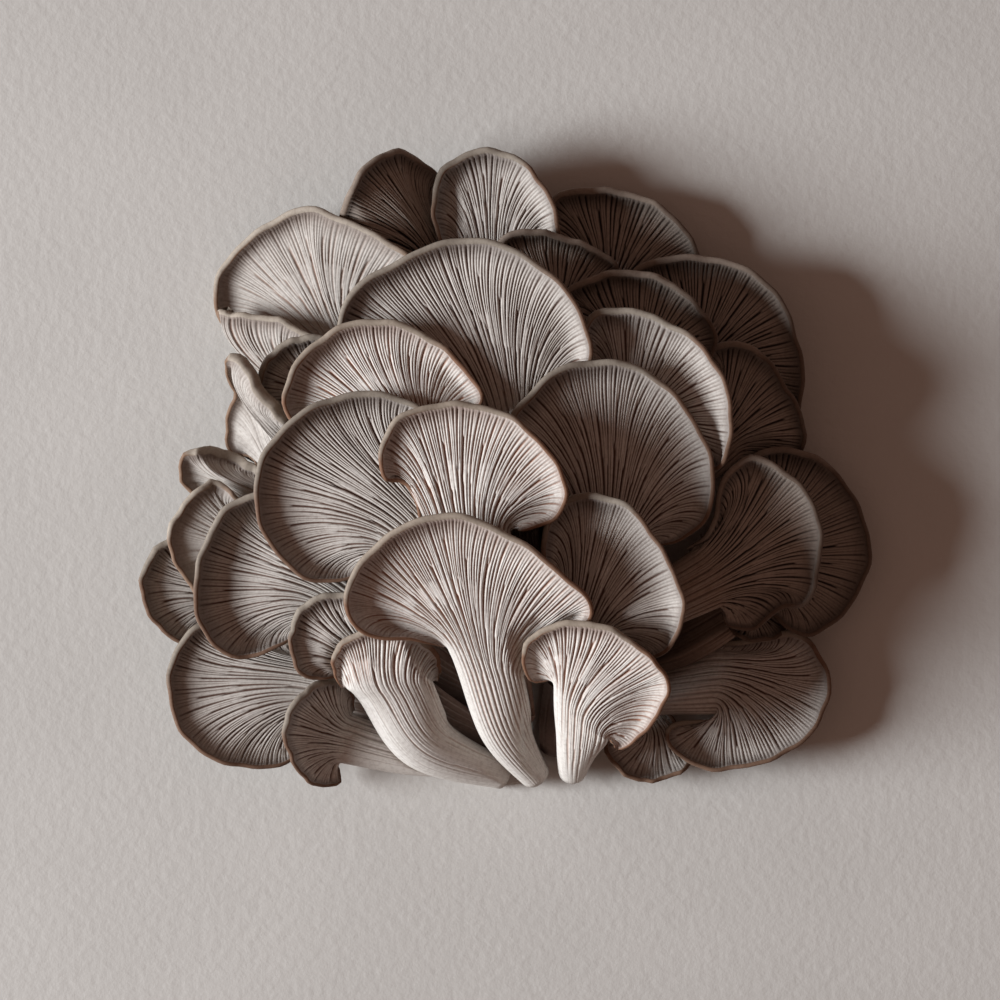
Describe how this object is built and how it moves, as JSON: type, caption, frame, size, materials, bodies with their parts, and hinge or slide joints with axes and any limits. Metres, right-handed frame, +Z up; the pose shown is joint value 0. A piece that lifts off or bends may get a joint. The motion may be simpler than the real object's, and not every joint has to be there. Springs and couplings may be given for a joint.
{
  "type": "oyster mushroom cluster",
  "caption": "Fresh cluster of grey oyster mushrooms lying gills up: fan-shaped caps overlap in tiers and their gilled stems draw together at the cut edge.",
  "frame": {"origin": "on the table, under the middle of the cluster's bounding box", "axes": "+X across the cluster, +Y from the cut stem ends towards the far caps, +Z up from the table, the way the gills face"},
  "size_m": [0.2222, 0.1932, 0.0592],
  "materials": {
    "warm_flesh": "matte",
    "grey_flesh": "matte",
    "pale_flesh": "matte",
    "brown_flesh": "matte"
  },
  "bodies": {
    "root": {"top_left": "brown_flesh", "upper_right": "brown_flesh", "bottom_small": "grey_flesh", "far_left": "grey_flesh", "top_centre": "grey_flesh", "right_upper": "brown_flesh", "lower_right": "grey_flesh", "upper_left": "pale_flesh", "left_low": "grey_flesh", "left_small": "pale_flesh", "upper_small": "brown_flesh", "right": "brown_flesh", "left_upper": "pale_flesh", "right_hidden": "brown_flesh", "left_middle": "pale_flesh", "lower_left": "grey_flesh", "right_outer": "brown_flesh", "right_upper_inner": "brown_flesh", "left_dark": "grey_flesh", "left_rolled": "pale_flesh", "left_lower_middle": "grey_flesh", "right_middle": "brown_flesh", "right_inner": "grey_flesh", "left_inner": "grey_flesh", "upper_centre": "grey_flesh", "front_left": "warm_flesh", "upper_left_centre": "warm_flesh", "centre_right": "grey_flesh", "left_centre": "grey_flesh", "right_centre": "grey_flesh", "centre": "warm_flesh", "front_centre": "warm_flesh", "front_right": "warm_flesh"}
  },
  "joints": []
}
